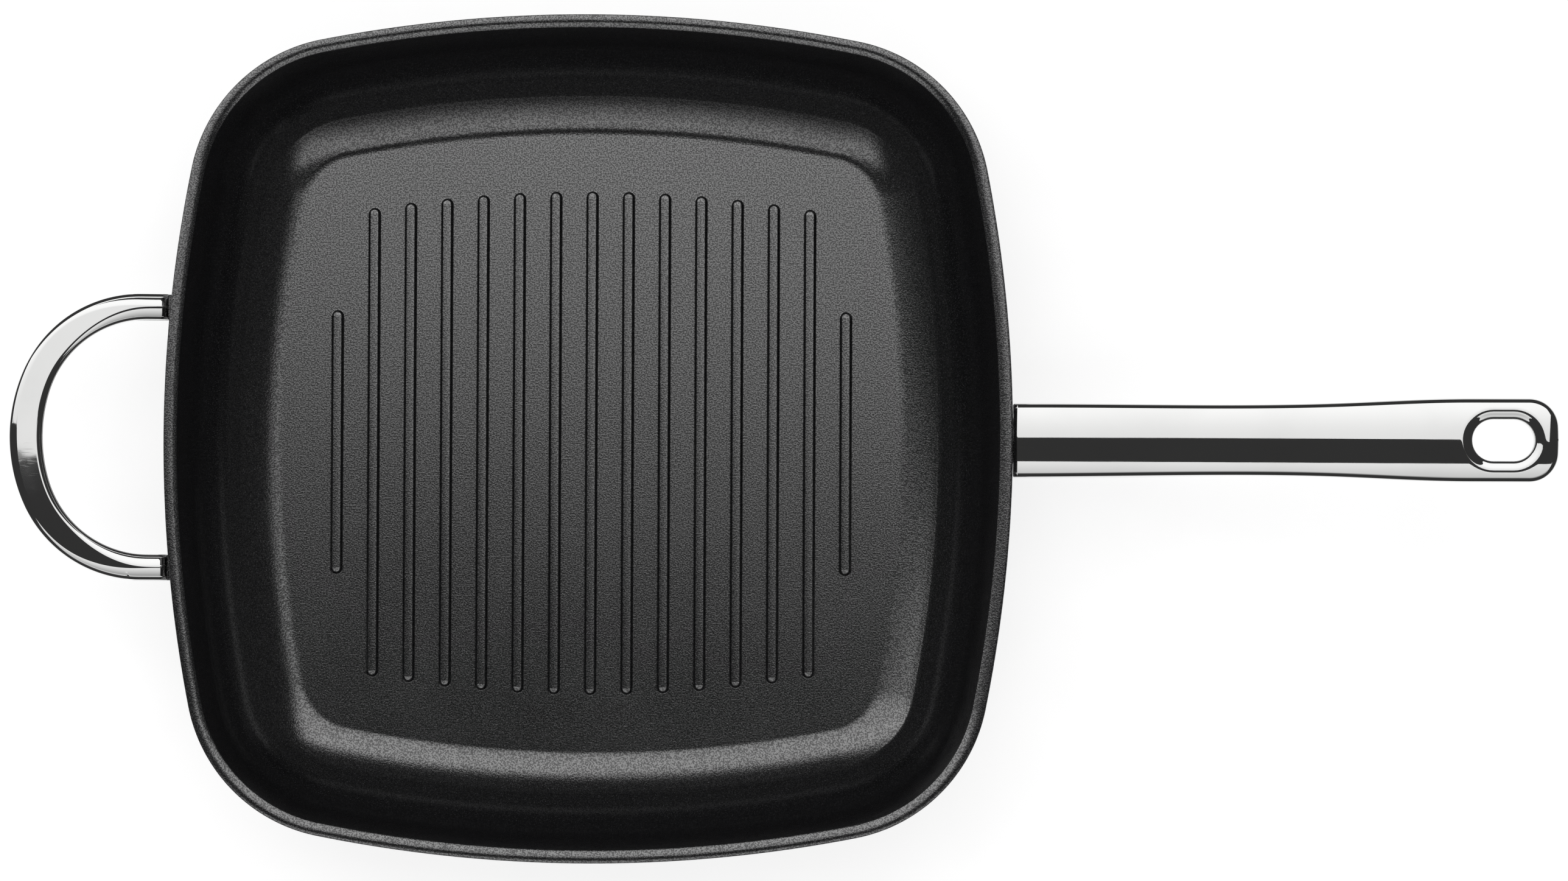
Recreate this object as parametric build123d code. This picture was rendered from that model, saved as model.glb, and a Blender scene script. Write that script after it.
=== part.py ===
from build123d import *
import math
import os

# Square grill pan in cast aluminium, with a long handle and a loop handle in stainless steel.
# Millimetres. The origin is the centre of the base, on the surface that the pan stands on.
# +Z is up, the long handle points along +X and the grill ribs run along Y.

# Pan outline, a square with bulged sides and rounded corners, measured at the rim
rim_span = 280
rim_side_radius = 457
rim_corner_radius = 54

# Pan section
pan_depth = 47
base_thickness = 6
upper_wall_height = 22
upper_wall_draft = 11
lower_wall_draft = 16
floor_fillet = 27
outer_wall_draft = 13
base_fillet = 20

# Rim, an outer and an inner bead with a groove between them, on a band that stands proud of the wall
rim_width = 4.4
outer_bead_width = 2.2
outer_bead_chamfer = 0.8
inner_bead_drop = 0.3
inner_bead_chamfer = 0.5
rim_groove_width = 0.4
rim_groove_depth = 0.6
rim_band_height = 7
rim_band_overhang = 0.9

# Grill ribs
rib_count = 15
rib_pitch = 12.15
rib_width = 3.7
rib_height = 2.5
rib_draft = 4
rib_crown_round = 0.9
middle_rib_length = 168.3
outer_rib_length = 88

# Steel plate bonded into the base
plate_diameter = 176
plate_thickness = 1.2
plate_edge_chamfer = 0.4

# Long handle
handle_length = 178
handle_root_width = 24.3
handle_waist_width = 23.3
handle_end_width = 27.3
handle_root_thickness = 14
handle_thickness = 8.5
handle_root_drop = 2.5
handle_root_slope = 12
handle_end_slope = 3
handle_crown_radius = 48
handle_root_corner = 2.6
handle_end_corner = 9.5
handle_end_bulge = 0.8
handle_top_chamfer = 1.4
handle_bottom_chamfer = 0.9
handle_waist_share = 0.32
handle_flare_start_share = 0.6
handle_flare_end_share = 0.84
handle_flat_bottom_length = 27
handle_thinning_length = 75

# Hanging hole, at a distance from the handle's end
hole_length = 20.2
hole_width = 13.6
hole_to_end = 18.3
hole_edge_chamfer = 2

# Relief pocket under the handle
pocket_width = 13
pocket_roof = 4
pocket_corner = 4
pocket_start = 80
pocket_end = 138

# Tenon of the casting, in the socket of the long handle
tenon_width = 15
tenon_thickness = 7
tenon_length = 24
tenon_corner = 1.6
socket_wall_below = 3.6
wall_embedding = 2.2

# Fixings of the long handle
handle_screw_diameter = 5
handle_screw_head_diameter = 9.2
handle_screw_length = 10
handle_screw_socket = 3
handle_screw_place = 13
insert_diameter = 8

# Loop handle, a strap whose outer and inner edges are each a D of tangent arcs
loop_reach = 52.1
loop_half_width = 47.2
loop_corner_share = 0.888
loop_apex_share = 1.17
loop_inner_corner_share = 0.872
loop_inner_apex_share = 1.3
strap_end_width = 8.4
strap_middle_width = 10.9
strap_thickness = 9
strap_end_corner = 2.9
strap_top_chamfer = 2
strap_bottom_chamfer = 1
loop_root_drop = 4
loop_tilt = 6

# Lap of the loop handle on the lugs of the casting
lap_length = 13
tongue_thickness = 4.2
lug_thickness = 6
lug_side_setback = 0.25
lug_end_corner = 2.5

# Fixings of the loop handle
loop_screw_diameter = 4
loop_screw_head_diameter = 6.9
loop_screw_length = 8.5
loop_screw_socket = 2.5
loop_screw_place = 6.5

# Clearances, and how far a cut runs past what it cuts
rim_gap = 0.3
socket_clearance = 0.2
fit_clearance = 0.05
lap_end_gap = 0.3
screw_head_land = 0.3
overrun = 5

rim_top = base_thickness + pan_depth
rim_half = rim_span / 2


def rise(angle):
    """How far a face of this draft moves sideways for each unit of height."""
    return math.tan(math.radians(angle))


def pan_outline(inset):
    """One side arc and one corner arc of the pan's outline, drawn in from the rim by inset."""
    half = rim_half - inset
    side = rim_side_radius - inset
    corner = rim_corner_radius - inset
    side_centre = half - side
    corner_centre = (side_centre + math.sqrt(2 * (side - corner) ** 2 - side_centre**2)) / 2
    half_turn = math.degrees(math.atan2(corner_centre, corner_centre - side_centre))
    return side_centre, corner_centre, side, corner, half_turn


def pan_face(inset):
    """The pan's outline as a face, drawn in from the rim by inset."""
    side_centre, corner_centre, side, corner, half_turn = pan_outline(inset)
    side_arc = CenterArc((side_centre, 0), side, -half_turn, 2 * half_turn)
    corner_arc = CenterArc((corner_centre, corner_centre), corner, half_turn, 90 - 2 * half_turn)
    return make_face([place * arc for place in PolarLocations(0, 4) for arc in (side_arc, corner_arc)])


def round_corner(section, corner, radius):
    """The section with the corner nearest to a point rounded."""
    return fillet(section.vertices().sort_by_distance(corner)[0], radius)


def bevel_corner(section, corner, length):
    """The section with the corner nearest to a point chamfered."""
    return chamfer(section.vertices().sort_by_distance(corner)[0], length)


def wall_section():
    """Section of base edge, wall and rim in the XZ plane, and X of its inner end."""
    wall_edge = rim_half - rim_width
    crease = wall_edge - upper_wall_height * rise(upper_wall_draft)
    floor_corner = crease - (pan_depth - upper_wall_height) * rise(lower_wall_draft)
    bead_edge = rim_half - outer_bead_width
    outer_wall = rim_half - rim_band_overhang
    band_foot = rim_top - rim_band_height
    base_corner = outer_wall - band_foot * rise(outer_wall_draft)
    inner_bead_top = rim_top - inner_bead_drop
    groove_floor = rim_top - rim_groove_depth
    joint = floor_corner - floor_fillet
    outline = Polyline(
        (joint, 0),
        (base_corner, 0),
        (outer_wall, band_foot),
        (rim_half, band_foot + rim_band_overhang),
        (rim_half, rim_top),
        (bead_edge, rim_top),
        (bead_edge, groove_floor),
        (bead_edge - rim_groove_width, groove_floor),
        (bead_edge - rim_groove_width, inner_bead_top),
        (wall_edge, inner_bead_top),
        (crease, rim_top - upper_wall_height),
        (floor_corner, base_thickness),
        (joint, base_thickness),
        close=True,
    )
    section = make_face(outline)
    section = round_corner(section, (base_corner, 0), base_fillet)
    section = round_corner(section, (floor_corner, base_thickness), floor_fillet)
    section = bevel_corner(section, (rim_half, rim_top), outer_bead_chamfer)
    section = bevel_corner(section, (wall_edge, inner_bead_top), inner_bead_chamfer)
    return Plane.XZ * section, joint


def pan_shell():
    """Base and walls: the section turned about the centre of each arc of the outline, round a flat base."""
    section, joint = wall_section()
    side_centre, corner_centre, side, corner, half_turn = pan_outline(0)
    side_axis = Axis((side_centre, 0, 0), (0, 0, 1))
    corner_axis = Axis((corner_centre, corner_centre, 0), (0, 0, 1))
    side_wall = revolve(section.rotate(side_axis, -half_turn), side_axis, 2 * half_turn)
    corner_section = section.rotate(side_axis, half_turn)
    corner_wall = revolve(corner_section, corner_axis, 90 - 2 * half_turn)
    walls = [place * wall for place in PolarLocations(0, 4) for wall in (side_wall, corner_wall)]
    base = extrude(pan_face(rim_half - joint), base_thickness)
    return base + walls


def outline_fall(offset):
    """How far the rim's side arc has fallen back at this distance from the middle of the side."""
    return rim_side_radius - math.sqrt(rim_side_radius**2 - offset**2)


def rib_section():
    """Section of a grill rib across its length, with drafted sides and a rounded crown."""
    foot = rib_width / 2
    crown = foot - rib_height * rise(rib_draft)
    section = make_face(
        Polyline((-foot, 0), (foot, 0), (crown, rib_height), (-crown, rib_height), close=True)
    )
    for side in (-1, 1):
        section = round_corner(section, (side * crown, rib_height), rib_crown_round)
    return section


def ribs():
    """Grill ribs: the section drawn out along Y and cut to round ends that follow the pan's sides."""
    bar = extrude(Plane.XZ * rib_section(), middle_rib_length, both=True)
    middle = (rib_count - 1) / 2
    made = []
    for index in range(rib_count):
        offset = (index - middle) * rib_pitch
        length = middle_rib_length - 2 * outline_fall(offset)
        if index in (0, rib_count - 1):
            length = outer_rib_length
        plan = SlotOverall(length, rib_width, rotation=90)
        made.append(Pos(offset, 0, base_thickness) * (bar & extrude(plan, rib_height)))
    return made


def plate(clearance):
    """Disc of the size of the base's recess, made smaller all round its edge by a clearance."""
    return Cylinder(
        plate_diameter / 2 - clearance,
        plate_thickness,
        align=(Align.CENTER, Align.CENTER, Align.MIN),
    )


def induction_plate():
    """Steel plate of the base, flush with the aluminium round it, with a chamfered lower edge."""
    disc = plate(fit_clearance)
    return chamfer(disc.edges().sort_by(Axis.Z)[0], plate_edge_chamfer)


def tenon():
    """Tenon that carries the long handle, from inside the wall to its free end."""
    start = rim_half - rim_band_overhang - wall_embedding
    length = rim_half + rim_gap + tenon_length - start
    bottom = handle_bottom() + socket_wall_below + socket_clearance
    block = Pos(start, 0, bottom) * Box(
        length,
        tenon_width,
        tenon_thickness,
        align=(Align.MIN, Align.CENTER, Align.MIN),
    )
    block = fillet(block.edges().filter_by(Axis.X), tenon_corner)
    insert_hole = Cylinder(insert_diameter / 2 + fit_clearance, 3 * tenon_thickness)
    return block - Pos(*handle_screw_axis(), bottom) * insert_hole


def handle_screw_axis():
    """X and Y of the long handle's screw."""
    return rim_half + rim_gap + handle_screw_place, 0


def loop_frame():
    """Place of the loop handle: its own X points out from the pan and its own Z is square to the strap."""
    end_face = rim_half + rim_gap - outline_fall(loop_half_width - strap_end_width)
    top = rim_top - loop_root_drop
    return Location((-end_face, 0, top), (0, 0, 180)) * Location((0, 0, 0), (0, -loop_tilt, 0))


def strap_end_centres():
    """Places of the middles of the strap's two ends, in the loop handle's frame."""
    centre = loop_half_width - strap_end_width / 2
    return [Pos(0, side * centre, 0) for side in (-1, 1)]


def loop_lug():
    """One lug of the casting, under the lap of the strap, with the hole for its screw."""
    inner_end = -(rim_gap + rim_band_overhang + wall_embedding)
    block = Pos(inner_end, 0, -tongue_thickness) * Box(
        lap_length - lap_end_gap - inner_end,
        strap_end_width - 2 * lug_side_setback,
        lug_thickness,
        align=(Align.MIN, Align.CENTER, Align.MAX),
    )
    free_end = block.edges().filter_by(Axis.Z).group_by(Axis.X)[-1]
    block = fillet(free_end, lug_end_corner)
    hole = countersunk_form(
        loop_screw_diameter / 2 + socket_clearance,
        loop_screw_head_diameter / 2 + fit_clearance,
        loop_screw_length,
        overrun,
    )
    return block - Pos(loop_screw_place, 0, -tongue_thickness - lug_thickness) * hole


def countersunk_form(shank_radius, head_radius, length, below):
    """Turned form of a countersunk screw or its hole, point up, with its face at zero height or below."""
    cone_top = screw_head_land + head_radius - shank_radius
    profile = Polyline(
        (0, -below),
        (head_radius, -below),
        (head_radius, screw_head_land),
        (shank_radius, cone_top),
        (shank_radius, length),
        (0, length),
        close=True,
    )
    return revolve(Plane.XZ * make_face(profile), Axis.Z)


def countersunk_screw(diameter, head_diameter, length, socket):
    """Countersunk screw with a hexagon socket, point up, with the face of its head at zero height."""
    screw = countersunk_form(diameter / 2 - fit_clearance, head_diameter / 2 - fit_clearance, length, 0)
    recess = extrude(RegularPolygon(socket / 2, 6, major_radius=False), diameter / 2)
    return screw - recess


def pan_body():
    """The casting: shell, ribs, recess for the plate, tenon and lugs."""
    lugs = [loop_frame() * place * loop_lug() for place in strap_end_centres()]
    return pan_shell() + ribs() + tenon() + lugs - plate(0)


def handle_arc_centre():
    """Centre and radius of the arc that the top of the long handle follows, seen from the side."""
    root_angle = math.radians(handle_root_slope)
    end_angle = math.radians(handle_end_slope)
    radius = handle_length / (math.sin(root_angle) - math.sin(end_angle))
    centre_x = rim_half + rim_gap + radius * math.sin(root_angle)
    centre_z = rim_top - handle_root_drop - radius * math.cos(root_angle)
    return centre_x, centre_z, radius


def handle_plan():
    """Plan of the long handle: narrow at its waist, wider at the end that holds the hanging hole."""
    root = rim_half + rim_gap
    end = root + handle_length
    flank = Spline(
        (root, handle_root_width / 2),
        (root + handle_length * handle_waist_share, handle_waist_width / 2),
        (root + handle_length * handle_flare_start_share, handle_root_width / 2),
        (root + handle_length * handle_flare_end_share, handle_end_width / 2),
        tangents=((1, 0), (1, 0)),
    )
    tip = Line(flank @ 1, (end - handle_end_bulge, handle_end_width / 2))
    half_end = ThreePointArc(
        tip @ 1,
        (end, 0),
        (end - handle_end_bulge, -handle_end_width / 2),
    )
    root_line = Line((root, -handle_root_width / 2), (root, handle_root_width / 2))
    flanks = [flank, tip, mirror(flank, Plane.XZ), mirror(tip, Plane.XZ)]
    plan = make_face([root_line, half_end, *flanks])
    for side in (-1, 1):
        plan = round_corner(plan, (root, side * handle_root_width / 2), handle_root_corner)
        plan = round_corner(plan, (end, side * handle_end_width / 2), handle_end_corner)
    return plan


def handle_arc_angle(distance):
    """Angle about the arc's centre, from its top, of a point this far along X from the handle's root."""
    centre_x, _, radius = handle_arc_centre()
    return -math.degrees(math.asin((centre_x - rim_half - rim_gap - distance) / radius))


def arc_slab(width, top, bottom, start, end, crown_radius=None):
    """Slab along the arc of the long handle's top, from start to end, between two depths below it."""
    centre_x, centre_z, radius = handle_arc_centre()
    axis = Axis((centre_x, 0, centre_z), (0, 1, 0))
    half = width / 2
    fall = crown_radius - math.sqrt(crown_radius**2 - half**2) if crown_radius else 0
    shoulder = radius - top - fall
    floor = radius - bottom
    if crown_radius:
        upper = ThreePointArc((-half, shoulder), (0, radius - top), (half, shoulder))
    else:
        upper = Line((-half, shoulder), (half, shoulder))
    lower = Polyline((half, shoulder), (half, floor), (-half, floor), (-half, shoulder))
    plane = Plane((centre_x, 0, centre_z), x_dir=(0, 1, 0), z_dir=(1, 0, 0))
    section = plane * make_face([upper, lower])
    start_angle = handle_arc_angle(start)
    return revolve(section.rotate(axis, start_angle), axis, handle_arc_angle(end) - start_angle)


def handle_underside_point(distance):
    """Point of the long handle's thin underside, as X and Z, this far along X from its root."""
    centre_x, centre_z, radius = handle_arc_centre()
    place = rim_half + rim_gap + distance
    return place, centre_z + math.sqrt((radius - handle_thickness) ** 2 - (place - centre_x) ** 2)


def handle_side_view():
    """What lies above the long handle's underside: level under the socket, then thinning to the end."""
    root = rim_half + rim_gap
    bottom = handle_bottom()
    past_end = handle_length + overrun
    level = Line((root - overrun, bottom), (root + handle_flat_bottom_length, bottom))
    thin_start = handle_underside_point(handle_thinning_length)
    slope = -math.radians(handle_arc_angle(handle_thinning_length))
    thinning = Spline(level @ 1, thin_start, tangents=((1, 0), (math.cos(slope), math.sin(slope))))
    thin = ThreePointArc(
        thin_start,
        handle_underside_point((handle_thinning_length + past_end) / 2),
        handle_underside_point(past_end),
    )
    over = Polyline(
        thin @ 1,
        (root + past_end, 2 * rim_top),
        (root - overrun, 2 * rim_top),
        (root - overrun, bottom),
    )
    view = Plane.XZ * make_face([level, thinning, thin, over])
    return extrude(view, handle_end_width, both=True)


def handle_bottom():
    """Height of the level underside of the long handle's root."""
    return rim_top - handle_root_drop - handle_root_thickness


def outer_edges(faces):
    """Edges that bound these faces as one group."""
    edges = [edge for face in faces for edge in face.edges()]
    return [edge for edge in edges if sum(edge.is_same(other) for other in edges) == 1]


def facing(shape, direction):
    """Faces whose middle faces mostly up, for a direction of 1, or down, for -1."""
    half = 1 / 2
    return [face for face in shape.faces() if face.normal_at().Z * direction > half]


def on_hanging_hole(edge):
    """Whether an edge of the long handle runs round its hanging hole."""
    middle = edge.position_at(1 / 2)
    hole_x = rim_half + rim_gap + handle_length - hole_to_end
    along = abs(middle.X - hole_x) < hole_length / 2 + fit_clearance
    return along and abs(middle.Y) < hole_width / 2 + fit_clearance


def bevel_rim(handle, direction, round_hole, length):
    """The handle with the rim of its top (direction 1) or underside (-1) chamfered, or that of its hole."""
    rim = outer_edges(facing(handle, direction))
    return chamfer([edge for edge in rim if on_hanging_hole(edge) == round_hole], length)


def long_handle():
    """Long handle: a crowned blank cut to its plan and its side view, bevelled, socketed and holed."""
    root = rim_half + rim_gap
    end = handle_length + overrun
    blank = arc_slab(2 * handle_end_width, 0, 2 * rim_top, -overrun, end, handle_crown_radius)
    handle = extrude(handle_plan(), 2 * rim_top) & blank & handle_side_view()
    hanging_hole = extrude(SlotOverall(hole_length, hole_width), 2 * rim_top)
    handle -= Pos(root + handle_length - hole_to_end, 0, 0) * hanging_hole
    for direction, rim_chamfer in ((1, handle_top_chamfer), (-1, handle_bottom_chamfer)):
        handle = bevel_rim(handle, direction, False, rim_chamfer)
        handle = bevel_rim(handle, direction, True, hole_edge_chamfer)
    hole = countersunk_form(
        handle_screw_diameter / 2 + socket_clearance,
        handle_screw_head_diameter / 2,
        socket_wall_below + socket_clearance,
        overrun,
    )
    handle -= Pos(*handle_screw_axis(), handle_bottom()) * hole
    return handle - arc_pocket() - handle_socket()


def arc_pocket():
    """Relief pocket in the underside of the long handle, with rounded corners."""
    pocket = arc_slab(pocket_width, pocket_roof, handle_thickness + overrun, pocket_start, pocket_end)
    straight = pocket.edges().filter_by(GeomType.LINE)
    return fillet([edge for edge in straight if abs(edge.tangent_at(0).Z) > 1 / 2], pocket_corner)


def handle_socket():
    """Socket in the root of the long handle, open towards the pan."""
    start = rim_half + rim_gap - overrun
    socket = Pos(start, 0, handle_bottom() + socket_wall_below) * Box(
        overrun + tenon_length + lap_end_gap,
        tenon_width + 2 * socket_clearance,
        tenon_thickness + 2 * socket_clearance,
        align=(Align.MIN, Align.CENTER, Align.MIN),
    )
    return fillet(socket.edges().filter_by(Axis.X), tenon_corner + socket_clearance)


def long_handle_insert():
    """Threaded steel bush in the tenon, for the long handle's screw."""
    bush = Cylinder(insert_diameter / 2, tenon_thickness)
    bush -= Cylinder(handle_screw_diameter / 2, tenon_thickness)
    middle = handle_bottom() + socket_wall_below + socket_clearance + tenon_thickness / 2
    return Pos(*handle_screw_axis(), middle) * bush


def long_handle_screw():
    """Screw of the long handle, put in from below and flush with the root's underside."""
    screw = countersunk_screw(
        handle_screw_diameter, handle_screw_head_diameter, handle_screw_length, handle_screw_socket
    )
    return Pos(*handle_screw_axis(), handle_bottom()) * screw


def d_face(reach, half_width, corner_share, apex_share):
    """A D of tangent arcs, with its straight side on the Y axis and its legs along X."""
    corner = half_width * corner_share
    apex = half_width * apex_share
    apex_centre = reach - apex
    leg_end = apex_centre + math.sqrt((apex - corner) ** 2 - (half_width - corner) ** 2)
    half_turn = math.degrees(math.atan2(half_width - corner, leg_end - apex_centre))
    return make_face(
        [
            Line((0, half_width), (leg_end, half_width)),
            CenterArc((leg_end, half_width - corner), corner, half_turn, 90 - half_turn),
            CenterArc((apex_centre, 0), apex, -half_turn, 2 * half_turn),
            CenterArc((leg_end, corner - half_width), corner, -90, 90 - half_turn),
            Line((leg_end, -half_width), (0, -half_width)),
            Line((0, -half_width), (0, half_width)),
        ]
    )


def strap_plan():
    """Plan of the strap, narrower at its ends than at its middle, with the corners of its ends rounded."""
    reach = loop_reach - strap_middle_width
    half_width = loop_half_width - strap_end_width
    plan = d_face(loop_reach, loop_half_width, loop_corner_share, loop_apex_share)
    plan -= d_face(reach, half_width, loop_inner_corner_share, loop_inner_apex_share)
    for side in (-1, 1):
        for edge in (loop_half_width, half_width):
            plan = round_corner(plan, (0, side * edge), strap_end_corner)
    return plan


def loop_handle():
    """Loop handle: bevelled strap, and at each end a tapped tongue that lies on a lug."""
    strap = extrude(strap_plan(), -strap_thickness)
    strap = chamfer(strap.edges().group_by(Axis.Z)[-1], strap_top_chamfer)
    strap = chamfer(strap.edges().group_by(Axis.Z)[0], strap_bottom_chamfer)
    lap = Pos(-overrun, 0, -tongue_thickness) * Box(
        overrun + lap_length,
        strap_end_width + overrun,
        strap_thickness,
        align=(Align.MIN, Align.CENTER, Align.MAX),
    )
    tapped_hole = Pos(loop_screw_place, 0, -tongue_thickness - lug_thickness) * Cylinder(
        loop_screw_diameter / 2,
        loop_screw_length + lap_end_gap,
        align=(Align.CENTER, Align.CENTER, Align.MIN),
    )
    strap -= [place * cut for place in strap_end_centres() for cut in (lap, tapped_hole)]
    return loop_frame() * strap


def loop_handle_screws():
    """The two screws of the loop handle, put in from below through the lugs."""
    screw = countersunk_screw(
        loop_screw_diameter, loop_screw_head_diameter, loop_screw_length, loop_screw_socket
    )
    screw = Pos(loop_screw_place, 0, -tongue_thickness - lug_thickness) * screw
    return Compound([loop_frame() * place * screw for place in strap_end_centres()])


parts = {
    "pan_body": pan_body,
    "induction_plate": induction_plate,
    "long_handle": long_handle,
    "long_handle_insert": long_handle_insert,
    "long_handle_screw": long_handle_screw,
    "loop_handle": loop_handle,
    "loop_handle_screws": loop_handle_screws,
}

os.makedirs("parts", exist_ok=True)
for name, make in parts.items():
    export_step(make(), f"parts/{name}.step")
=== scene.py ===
import math

import bpy
import numpy as np
from mathutils import Matrix, Vector
from mathutils.geometry import delaunay_2d_cdt


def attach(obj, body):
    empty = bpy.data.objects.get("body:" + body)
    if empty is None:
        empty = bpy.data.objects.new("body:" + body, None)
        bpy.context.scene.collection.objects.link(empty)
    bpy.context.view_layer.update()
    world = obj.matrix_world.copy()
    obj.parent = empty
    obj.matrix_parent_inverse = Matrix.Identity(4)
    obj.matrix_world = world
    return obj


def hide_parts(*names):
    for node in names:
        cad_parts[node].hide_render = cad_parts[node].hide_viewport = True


# Grill pan of cast aluminium with a long handle and a loop handle in polished steel. Metres.
# The origin is the centre of the base, the long handle points along +X and the ribs run along Y.

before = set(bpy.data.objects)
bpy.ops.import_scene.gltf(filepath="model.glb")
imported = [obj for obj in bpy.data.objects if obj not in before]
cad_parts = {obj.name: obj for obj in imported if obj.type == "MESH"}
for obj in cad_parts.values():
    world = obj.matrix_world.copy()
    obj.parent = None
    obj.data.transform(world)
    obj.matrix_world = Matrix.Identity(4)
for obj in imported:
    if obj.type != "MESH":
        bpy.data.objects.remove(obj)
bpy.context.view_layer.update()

# PAN CASTING
# One thick aluminium casting, square with bulged sides, with fifteen ribs across its floor and a softly
# crowned rim. It is cast, machined on the upper wall, and then coated all over with a dark, faintly
# flecked non-stick film.

rim_half = 0.13995
rim_side_radius = 0.457
rim_corner_radius = 0.054
outline_side_steps = 40
outline_corner_steps = 44


def directions_at(angles):
    """Unit directions in plan at these angles."""
    return np.column_stack([np.cos(angles), np.sin(angles)])


def ring(steps):
    """Unit directions in plan, evenly round a circle."""
    return directions_at(np.linspace(0, 2 * math.pi, steps, endpoint=False))


def raised(plan, up):
    """Places in plan with a height added, either one for all or one for each."""
    return np.column_stack([plan, np.full(len(plan), up)])


def outline_stations():
    """Centre, radius and outward direction of each point round the rim's outline."""
    side_centre = rim_half - rim_side_radius
    gap = rim_side_radius - rim_corner_radius
    corner_centre = (side_centre + math.sqrt(2 * gap**2 - side_centre**2)) / 2
    half_turn = math.atan2(corner_centre, corner_centre - side_centre)
    side_angles = np.linspace(-half_turn, half_turn, outline_side_steps, endpoint=False)
    corner_angles = np.linspace(half_turn, math.pi / 2 - half_turn, outline_corner_steps, endpoint=False)
    centres = [(side_centre, 0)] * outline_side_steps
    centres += [(corner_centre, corner_centre)] * outline_corner_steps
    radii = np.array([rim_side_radius] * outline_side_steps + [rim_corner_radius] * outline_corner_steps)
    directions = directions_at(np.concatenate([side_angles, corner_angles]))
    quarter = np.array([[0, 1], [-1, 0]])
    all_centres, all_directions = [np.array(centres)], [directions]
    for _ in range(3):
        all_centres.append(all_centres[-1] @ quarter)
        all_directions.append(all_directions[-1] @ quarter)
    return np.concatenate(all_centres), np.tile(radii, 4), np.concatenate(all_directions)


def rounded_path(corners, steps=7):
    """Points and left-hand normals along a path of (across, up, radius) corners, each corner rounded."""
    path = [np.array(corner[:2], float) for corner in corners]
    points, normals = [], []
    for index, corner in enumerate(corners):
        here = path[index]
        before = here - path[index - 1] if index else path[1] - here
        after = path[index + 1] - here if index + 1 < len(path) else before
        before = before / np.linalg.norm(before)
        after = after / np.linalg.norm(after)
        start_angle = math.atan2(before[1], before[0])
        turn = math.atan2(before[0] * after[1] - before[1] * after[0], before @ after)
        reach = corner[2] * math.tan(abs(turn) / 2)
        side = 1 if turn > 0 else -1
        left = np.array([-before[1], before[0]])
        centre = here - before * reach + left * side * corner[2]
        count = max(2, math.ceil(abs(turn) / (math.pi / 2) * steps * 2)) if corner[2] else 1
        for share in np.linspace(0, 1, count):
            angle = start_angle + turn * share
            normal = np.array([-math.sin(angle), math.cos(angle)])
            points.append(centre - normal * side * corner[2])
            normals.append(normal)
    return np.array(points), np.array(normals)


def grid_shell(points, normals, wrap=True):
    """A shell of quads over rows of points. Each row closes on itself if wrap is set."""
    points, normals = np.array(points), np.array(normals)
    rows, columns = points.shape[:2]
    last = columns if wrap else columns - 1
    faces = []
    for row in range(rows - 1):
        for column in range(last):
            beside = (column + 1) % columns
            low, high = row * columns, (row + 1) * columns
            faces.append((low + column, low + beside, high + beside, high + column))
    return points.reshape(-1, 3), normals.reshape(-1, 3), faces


def cap_shell(points, normal):
    """A flat shell inside one closed row of points."""
    return points, np.tile(np.array(normal, float), (len(points), 1)), [tuple(range(len(points)))]


def joined(shells):
    """Several shells as one."""
    starts = np.cumsum([0] + [len(shell[0]) for shell in shells])
    faces = []
    for shell, start in zip(shells, starts):
        faces += [tuple(int(corner + start) for corner in face) for face in shell[2]]
    points = np.concatenate([shell[0] for shell in shells])
    normals = np.concatenate([shell[1] for shell in shells])
    return points, normals, faces


def facing_out(points, normals, faces):
    """The faces, each turned so that its front side agrees with the normals of its corners."""
    turned = []
    for face in faces:
        a, b, c = points[face[0]], points[face[1]], points[face[2]]
        flat = np.cross(b - a, c - a)
        if len(face) == 4:
            flat = np.cross(c - a, points[face[3]] - b)
        agrees = flat @ normals[list(face)].sum(axis=0) >= 0
        turned.append(face if agrees else face[::-1])
    return turned


shortest_normal = 1e-12


def new_piece(name, shells, material, nodes):
    """A piece made of shells, which rides on the pan and stands for the CAD nodes that are named."""
    points, normals, faces = joined(shells)
    lengths = np.linalg.norm(normals, axis=1, keepdims=True)
    normals = normals / np.maximum(lengths, shortest_normal)
    mesh = bpy.data.meshes.new(name)
    mesh.from_pydata(points.tolist(), [], facing_out(points, normals, faces))
    mesh.shade_smooth()
    mesh.normals_split_custom_set_from_vertices(normals.tolist())
    mesh.materials.append(material)
    piece = bpy.data.objects.new(name, mesh)
    bpy.context.scene.collection.objects.link(piece)
    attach(piece, "root")
    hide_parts(*nodes)


floor_top = 0.006
plate_hole_radius = 0.08805
plate_hole_depth = 0.0012
plate_hole_lip = 0.0003
wall_corners = [
    (0.09716, floor_top, 0),
    (0.1045, floor_top, 0.014),
    (0.111, 0.00738, 0.042),
    (0.1168, 0.01002, 0.006),
    (0.12803, 0.01972, 0.032),
    (0.13127, 0.031, 0.004),
    (0.13562, 0.05236, 0.00025),
    (0.13753, 0.05313, 0.0071),
    (rim_half, 0.05279, 0.00035),
    (rim_half, 0.0469, 0.0005),
    (0.13905, 0.046, 0.0006),
    (0.12843, 0, 0.02),
    (0.09716, 0, 0),
]


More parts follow.
